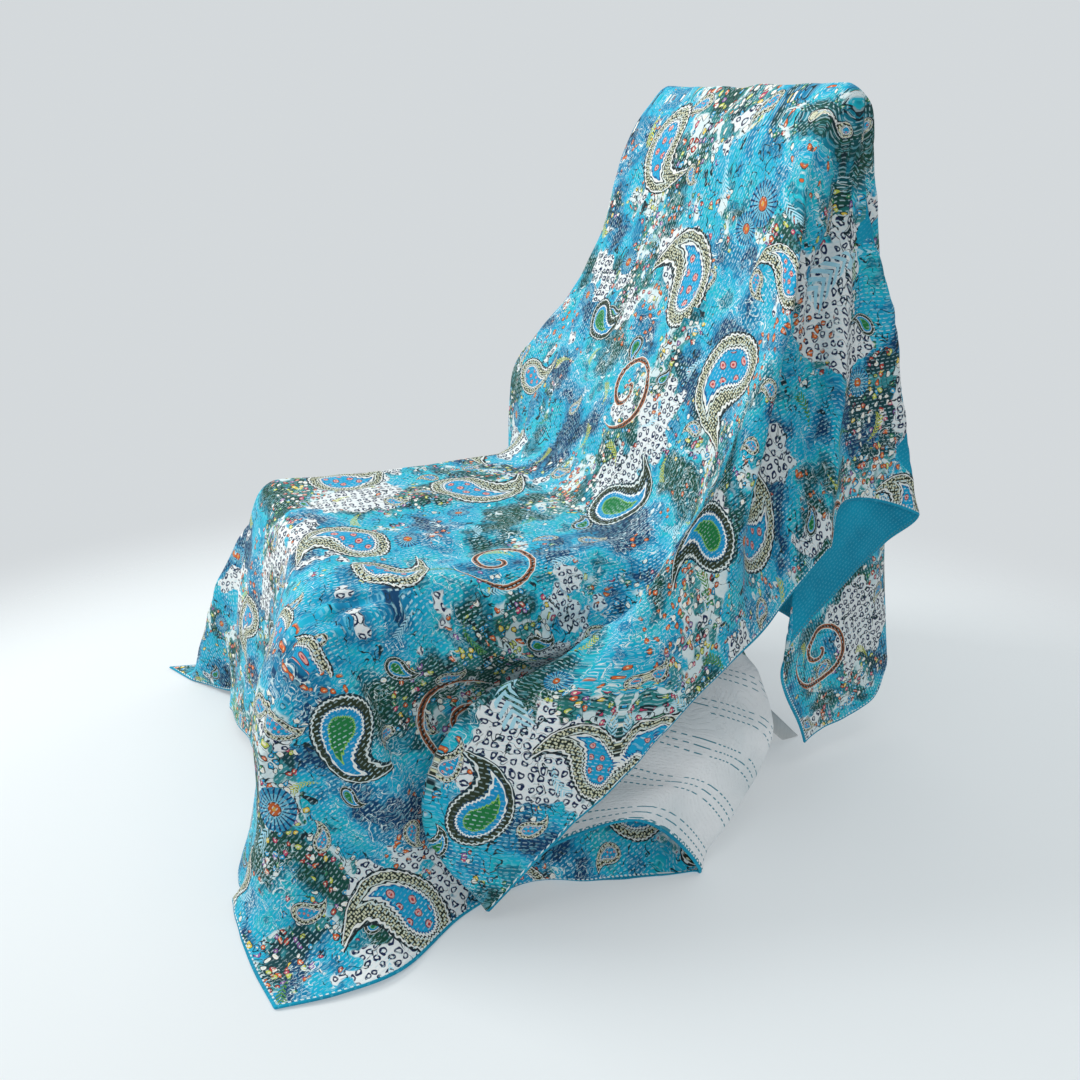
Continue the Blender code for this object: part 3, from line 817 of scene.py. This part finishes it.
def printDrops(tree, paint, plane, local, kind, drop):
    # teal paisleys and green teardrops: beaded outlines, a speckled band, a plain heart
    beads = addNode(tree, "Math", (drop["angle"], 34.0), "MULTIPLY")
    beads = addNode(tree, "Math", (beads,), "SINE")
    beaded = addNode(tree, "Math", (beads, 0.02, drop["reach"]), "MULTIPLY_ADD")
    teal = addNode(tree, "ValToRGB", (beaded,), "CONSTANT", stops=cotton["tealDrop"])
    green = addNode(tree, "ValToRGB", (beaded,), "CONSTANT", stops=cotton["greenDrop"])
    cells = {"Vector": plane, "Scale": 1 / cotton["speckGap"], "Randomness": 0.6}
    speck = addNode(tree, "TexVoronoi", cells, "2D").outputs["Distance"]
    speck = addNode(tree, "Math", (speck, 0.36), "LESS_THAN")
    band = addNode(tree, "Math", (beaded, 0.76, 0.11), "COMPARE")
    teal = layOver(tree, teal, cotton["dropSpeck"], speck, band)
    isTeal = addNode(tree, "Math", (kind, 1.5), "LESS_THAN")
    dropPaint = layOver(tree, green, teal, isTeal)
    isDrop = addNode(tree, "Math", (kind, 2.5), "LESS_THAN")
    inDrop = addNode(tree, "Math", (drop["reach"], 1.0), "LESS_THAN")
    shown = addNode(tree, "Math", (isDrop, inDrop), "MULTIPLY")
    isSome = addNode(tree, "Math", (kind, 0.5), "GREATER_THAN")
    shown = addNode(tree, "Math", (shown, isSome), "MULTIPLY")
    paint = layOver(tree, paint, dropPaint, shown)
    # red buds in the teal hearts
    cells = {"Vector": local, "Scale": 5.0, "Randomness": 0.3}
    heart = addNode(tree, "TexVoronoi", cells, "2D").outputs["Distance"]
    inHeart = addNode(tree, "Math", (drop["reach"], 0.42), "LESS_THAN")
    inHeart = addNode(tree, "Math", (inHeart, shown), "MULTIPLY")
    inHeart = addNode(tree, "Math", (inHeart, isTeal), "MULTIPLY")
    for size, colour in cotton["dropBuds"]:
        bud = addNode(tree, "Math", (heart, size), "LESS_THAN")
        paint = layOver(tree, paint, colour, bud, inHeart)
    return paint


def printBursts(tree, paint, kind, out, angle):
    # starbursts: an orange eye and dark rays on pale blue
    rays = addNode(tree, "Math", (angle, cotton["burstRays"]), "MULTIPLY")
    rays = addNode(tree, "Math", (rays,), "COSINE")
    rays = addNode(tree, "Math", (rays, 0.45), "GREATER_THAN")
    burst = addNode(tree, "ValToRGB", (out,), "CONSTANT", stops=cotton["burst"])
    outside = addNode(tree, "Math", (out, 0.25), "GREATER_THAN")
    burst = layOver(tree, burst, cotton["burstRay"], rays, outside)
    isBurst = addNode(tree, "Math", (kind, 3.0, 0.1), "COMPARE")
    inBurst = addNode(tree, "Math", (out, 0.66), "LESS_THAN")
    return layOver(tree, paint, burst, isBurst, inBurst)


def printScrolls(tree, paint, kind, out, angle):
    # orange-brown arcs of an open spiral
    spiral = addNode(tree, "Math", (out, 11.0, angle), "MULTIPLY_ADD")
    spiral = addNode(tree, "Math", (spiral,), "SINE")
    isScroll = addNode(tree, "Math", (kind, 4.0, 0.1), "COMPARE")
    inScroll = addNode(tree, "Math", (out, 0.9), "LESS_THAN")
    shown = addNode(tree, "Math", (isScroll, inScroll), "MULTIPLY")
    for least, colour in cotton["scroll"]:
        arc = addNode(tree, "Math", (spiral, least), "GREATER_THAN")
        paint = layOver(tree, paint, colour, arc, shown)
    return paint


def printFerns(tree, paint, kind, number, x, y):
    # leaflets that slant from a curved stem
    stem = addNode(tree, "Math", (y, y), "MULTIPLY")
    stem = addNode(tree, "Math", (stem, -0.35, x), "MULTIPLY_ADD")
    beside = addNode(tree, "Math", (stem,), "ABSOLUTE")
    leaf = addNode(tree, "Math", (beside, 1.1, y), "MULTIPLY_ADD")
    leaf = addNode(tree, "Math", (leaf, 36.0), "MULTIPLY")
    leaf = addNode(tree, "Math", (leaf,), "SINE")
    taper = addNode(tree, "MapRange", (y, -0.85, 0.9, 0.30, 0.0))
    inFern = addNode(tree, "Math", (beside, taper), "LESS_THAN")
    isFern = addNode(tree, "Math", (kind, 5.0, 0.1), "COMPARE")
    shown = addNode(tree, "Math", (isFern, inFern), "MULTIPLY")
    lowEnd = addNode(tree, "Math", (y, -0.85), "GREATER_THAN")
    shown = addNode(tree, "Math", (shown, lowEnd), "MULTIPLY")
    green = addNode(tree, "ValToRGB", (number,), "CONSTANT", stops=cotton["fern"])
    leaf = addNode(tree, "Math", (leaf, -0.1), "GREATER_THAN")
    return layOver(tree, paint, green, leaf, shown)


def printMotifs(tree, paint, plane, wander):
    shape = paisleyShape()
    for field, curl, tip in cotton["dropShapes"]:
        given = addNode(tree, "Attribute", attribute_name=field).outputs["Vector"]
        wobble = addNode(tree, "VectorMath", {0: wander, "Scale": 3.5}, "SCALE")
        x, y, sort = addNode(tree, "SeparateXYZ", (given,)).outputs
        local = addNode(tree, "CombineXYZ", (x, y))
        local = addNode(tree, "VectorMath", (local, wobble), "ADD")
        kind = addNode(tree, "Math", (sort,), "FLOOR")
        number = addNode(tree, "Math", (sort,), "FRACT")
        drop = addNode(tree, "Group", {"place": local, "curl": curl, "tip": tip}, node_tree=shape).outputs
        paint = printDrops(tree, paint, plane, local, kind, drop)
        out = addNode(tree, "VectorMath", (local,), "LENGTH")
        angle = addNode(tree, "Math", (y, x), "ARCTAN2")
        paint = printBursts(tree, paint, kind, out, angle)
        paint = printScrolls(tree, paint, kind, out, angle)
        paint = printFerns(tree, paint, kind, number, x, y)
    return paint


def runningStitch(tree, across, along, rowGap, pitch, share, width):
    # where the thread lies on top, each row starting at its own place
    rowPlace = addNode(tree, "Math", (across, 1 / rowGap), "MULTIPLY")
    row = addNode(tree, "Math", (rowPlace,), "FLOOR")
    beside = addNode(tree, "Math", (rowPlace,), "FRACT")
    beside = addNode(tree, "Math", (beside, 0.5), "SUBTRACT")
    beside = addNode(tree, "Math", (beside,), "ABSOLUTE")
    start = addNode(tree, "TexWhiteNoise", {"W": row}, "1D").outputs["Value"]
    step = addNode(tree, "Math", (along, 1 / pitch, start), "MULTIPLY_ADD")
    step = addNode(tree, "Math", (step,), "FRACT")
    onThread = addNode(tree, "MapRange", (step, share, share - 0.1))
    inRow = addNode(tree, "MapRange", (beside, width, width * 0.6))
    return addNode(tree, "Math", (onThread, inRow), "MULTIPLY")


def printedCotton():
    # plain-woven cotton, screen printed, with a soft matt face: rough, no gloss, a faint fuzz of sheen
    look = bpy.data.materials.new("printedCotton")
    look.use_nodes = True
    tree = look.node_tree
    tree.nodes.clear()
    flat = addNode(tree, "Attribute", attribute_name="flatPlace").outputs["Vector"]
    across, along, sideUp = addNode(tree, "SeparateXYZ", (flat,)).outputs
    plane = addNode(tree, "CombineXYZ", (across, along))
    # the hand of the block cutter: outlines wander by 2 mm
    hand = addNode(tree, "TexNoise", {"Vector": plane, "Scale": 70.0, "Detail": 1.0}, "2D")
    hand = hand.outputs["Color"]
    wander = addNode(tree, "VectorMath", (hand, (0.5, 0.5, 0.5)), "SUBTRACT")
    wander = addNode(tree, "VectorMath", {0: wander, "Scale": 9 * mm}, "SCALE")
    drawn = addNode(tree, "VectorMath", (plane, wander), "ADD")

    noise = {"Vector": drawn, "Scale": 6.5, "Detail": 3.5, "Roughness": 0.6}
    patch = addNode(tree, "TexNoise", noise, "2D")
    paint = printGround(tree, drawn, patch)
    flowerZone, dotZone, lineZone, sprayPatches = printZones(tree, drawn)
    paint = printFlorets(tree, paint, drawn, patch, flowerZone)
    paint = printRingDots(tree, paint, drawn, dotZone)
    paint = printLines(tree, paint, drawn, lineZone)
    paint = printSprays(tree, paint, drawn, sprayPatches)
    paint = printMotifs(tree, paint, plane, wander)

    # kantha: pale running stitch all over, in rows along the quilt that sway a little
    sway = addNode(tree, "VectorMath", (wander, (0.3, 0.3, 0.3), plane), "MULTIPLY_ADD")
    swayAcross, swayAlong = addNode(tree, "SeparateXYZ", (sway,)).outputs[:2]
    kantha = runningStitch(tree, swayAcross, swayAlong, *cotton["printStitch"])
    tone = addNode(tree, "TexNoise", {"Vector": plane, "Scale": 24.0, "Detail": 1.0}, "2D")
    tone = addNode(tree, "MapRange", (tone, 0.35, 0.65, 0.15, 0.75))
    paint = layOver(tree, paint, cotton["thread"], kantha, tone)

    # the backing is pieced: a white panel with grouped teal stitch, the rest plain turquoise
    hem = addNode(tree, "Attribute", attribute_name="hemPlace").outputs["Vector"]
    fromHem, alongHem = addNode(tree, "SeparateXYZ", (hem,)).outputs[:2]
    group = addNode(tree, "Math", (fromHem, 1 / cotton["backGroup"]), "MULTIPLY")
    group = addNode(tree, "Math", (group,), "FRACT")
    group = addNode(tree, "Math", (group, 0.5), "LESS_THAN")
    stitch = runningStitch(tree, fromHem, alongHem, *cotton["backStitch"])
    stitch = addNode(tree, "Math", (stitch, group), "MULTIPLY")
    panelSide = addNode(tree, "Math", (across, cotton["panelFrom"]), "GREATER_THAN")
    panelEnd = (along, cotton["panelMiddle"], cotton["panelHalf"])
    panelEnd = addNode(tree, "Math", panelEnd, "COMPARE")
    panel = addNode(tree, "Math", (panelSide, panelEnd), "MULTIPLY")
    cloudy = addNode(tree, "TexNoise", {"Vector": plane, "Scale": 9.0, "Detail": 3.0}, "2D")
    turquoise = addNode(tree, "ValToRGB", (cloudy,), stops=cotton["turquoise"])
    white = addNode(tree, "ValToRGB", (cloudy,), stops=cotton["whitePanel"])
    white = layOver(tree, white, cotton["backThread"], stitch)
    faint = addNode(tree, "Math", (kantha, 0.35), "MULTIPLY")
    turquoise = layOver(tree, turquoise, cotton["turquoiseThread"], faint)
    reverse = layOver(tree, turquoise, white, panel)
    isReverse = addNode(tree, "Math", (sideUp, 0.5), "GREATER_THAN")
    paint = layOver(tree, paint, reverse, isReverse)

    # the backing is turned over the hem, so a turquoise edge shows all round, and whipped with pale thread
    turned = addNode(tree, "Math", (fromHem, cotton["turnedEdge"]), "LESS_THAN")
    paint = layOver(tree, paint, turquoise, turned)
    whip = addNode(tree, "Math", (alongHem, 1 / cotton["whipPitch"]), "MULTIPLY")
    whip = addNode(tree, "Math", (whip,), "FRACT")
    whip = addNode(tree, "Math", (whip, 0.5), "LESS_THAN")
    hemRow = (fromHem, cotton["whipIn"], cotton["whipHalf"])
    hemRow = addNode(tree, "Math", hemRow, "COMPARE")
    whip = addNode(tree, "Math", (whip, hemRow), "MULTIPLY")
    thread = layOver(tree, cotton["whipFront"], cotton["whipBack"], isReverse)
    paint = layOver(tree, paint, thread, whip)

    # relief: puckers of 6 by 17 mm between the stitches, and the weave
    pucker = addNode(tree, "VectorMath", (drawn, (165.0, 60.0, 0.0)), "MULTIPLY")
    pucker = addNode(tree, "TexNoise", {"Vector": pucker, "Scale": 1.0, "Detail": 2.0}, "2D")
    dip = addNode(tree, "Math", (kantha, -0.35, pucker), "MULTIPLY_ADD")
    threads = {"Vector": plane, "Scale": 1 / cotton["weaveGap"], "Detail": 0.0}
    weave = addNode(tree, "TexNoise", threads, "2D")
    relief = addNode(tree, "Math", (weave, 0.12, dip), "MULTIPLY_ADD")
    bump = addNode(tree, "Bump", {"Height": relief, "Strength": 0.7, "Distance": cotton["puckerDepth"]})
    worn = addNode(tree, "MapRange", (pucker, 0.3, 0.7, 0.93, 0.80))
    shader = addNode(tree, "BsdfPrincipled", {
        "Base Color": paint, "Roughness": worn, "Normal": bump, "IOR": 1.46,
        "Specular IOR Level": 0.3, "Sheen Weight": 0.04, "Sheen Roughness": 0.5})
    addNode(tree, "OutputMaterial", {"Surface": shader})
    return look


def paintedWood():
    # beech under pale grey satin paint, brushed on: the grain shows as faint long ridges
    look = bpy.data.materials.new("paintedWood")
    look.use_nodes = True
    tree = look.node_tree
    tree.nodes.clear()
    where = addNode(tree, "TexCoord").outputs["Object"]
    grainPlace = addNode(tree, "VectorMath", (where, (260.0, 260.0, 14.0)), "MULTIPLY")
    grain = addNode(tree, "TexNoise", {"Vector": grainPlace, "Scale": 1.0, "Detail": 4.0})
    cloud = addNode(tree, "TexNoise", {"Vector": where, "Scale": 11.0, "Detail": 3.0})
    tone = addNode(tree, "Math", (grain, 0.35, cloud), "MULTIPLY_ADD")
    paint = addNode(tree, "ValToRGB", (tone,), stops=((0.45, "#B9BBBA"), (0.9, "#D3D4D2")))
    gloss = addNode(tree, "MapRange", (cloud, 0.3, 0.7, 0.42, 0.56))
    bump = addNode(tree, "Bump", {"Height": grain, "Strength": 0.3, "Distance": 0.4 * mm})
    shader = {"Base Color": paint, "Roughness": gloss, "Normal": bump, "IOR": 1.5}
    shader = addNode(tree, "BsdfPrincipled", shader)
    addNode(tree, "OutputMaterial", {"Surface": shader})
    return look


cloth = bpy.data.objects.new("kanthaQuilt", quiltMesh())
bpy.context.scene.collection.objects.link(cloth)
cloth.data.materials.append(printedCotton())
print("quilt made:", len(cloth.data.polygons), "faces")
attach(cloth, "root")
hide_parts("quilt")

wood = paintedWood()
for name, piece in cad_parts.items():
    if name != "quilt":
        for slot in piece.material_slots:
            slot.material = wood
print("chair painted")

studio = {
    "floorColour": "#BCC2C4",
    "paintedFloorGlow": 0.31,  # painted light: the paper glows though no lamp lights it, which keeps the shadows on it soft and lights the cloth a little from below
    "paintedGlowColour": "#F6FAFC",
    "backColour": "#E3E8EB",
    "floorReach": 9.0,  # metres from the middle to each side
    "middle": (0.55, -0.25, 0),
    "fade": (1.25, 1.95),  # metres from the middle, where the paper starts to fade and where it is gone
    # name, place, aim, size in m, watts, colour
    "lamps": (
        ("windowLight", (-1.9, -2.7, 2.5), (0.0, -0.1, 0.5), 1.4, 106, "#FFFDFA"),
        ("fillLight", (3.0, -1.6, 1.9), (0.0, 0.0, 0.5), 2.4, 16, "#F8FBFF"),
        ("topLight", (-0.3, 0.0, 3.4), (0.0, 0.0, 0.3), 3.4, 40, "#FFFFFF"),
        ("backLight", (-1.2, 3.4, 2.2), (0.0, 0.2, 0.6), 2.0, 22, "#FFFFFF"),
    ),
    "backStrength": 0.86,  # the backdrop as it is seen
    "airStrength": 0.50,  # the light that it gives
}


def studioFloor():
    # seamless paper: matt, fading into the backdrop with distance so that no horizon shows
    side = studio["floorReach"]
    mesh = bpy.data.meshes.new("studioFloor")
    square = [(-side, -side, 0), (side, -side, 0), (side, side, 0), (-side, side, 0)]
    mesh.from_pydata(square, [], [(0, 1, 2, 3)])
    floor = bpy.data.objects.new("studioFloor", mesh)
    floor.location = studio["middle"]
    bpy.context.scene.collection.objects.link(floor)
    look = bpy.data.materials.new("seamlessPaper")
    look.use_nodes = True
    tree = look.node_tree
    tree.nodes.clear()
    where = addNode(tree, "TexCoord").outputs["Object"]
    out = addNode(tree, "VectorMath", (where,), "LENGTH")
    near, far = studio["fade"]
    fade = addNode(tree, "MapRange", (out, near, far), "SMOOTHSTEP")
    # the emission is painted light on the paper, a glow that no lamp gives, which lifts the shadows cast on it
    paper = addNode(tree, "BsdfPrincipled", {
        "Base Color": studio["floorColour"], "Roughness": 0.8, "IOR": 1.4,
        "Emission Color": studio["paintedGlowColour"], "Emission Strength": studio["paintedFloorGlow"]})
    clear = addNode(tree, "BsdfTransparent")
    both = addNode(tree, "MixShader", (fade, paper, clear))
    addNode(tree, "OutputMaterial", {"Surface": both})
    mesh.materials.append(look)


def studioLamps():
    for name, place, aim, size, watts, colour in studio["lamps"]:
        data = bpy.data.lights.new(name, "AREA")
        data.size = size
        data.energy = watts
        data.color = toLinear(colour)[:3]
        lamp = bpy.data.objects.new(name, data)
        lamp.location = place
        lamp.rotation_euler = (Vector(aim) - Vector(place)).to_track_quat("-Z", "Y").to_euler()
        bpy.context.scene.collection.objects.link(lamp)
    world = bpy.data.worlds.new("studioAir")
    world.use_nodes = True
    air = world.node_tree
    seen = addNode(air, "LightPath").outputs["Is Camera Ray"]
    strength = {"Value": seen, 3: studio["airStrength"], 4: studio["backStrength"]}
    strength = addNode(air, "MapRange", strength).outputs[0]
    back = air.nodes["Background"]
    back.inputs["Color"].default_value = toLinear(studio["backColour"])
    air.links.new(strength, back.inputs["Strength"])
    bpy.context.scene.world = world
    bpy.context.scene.view_settings.view_transform = "Standard"


studioFloor()
studioLamps()
print("studio lit")
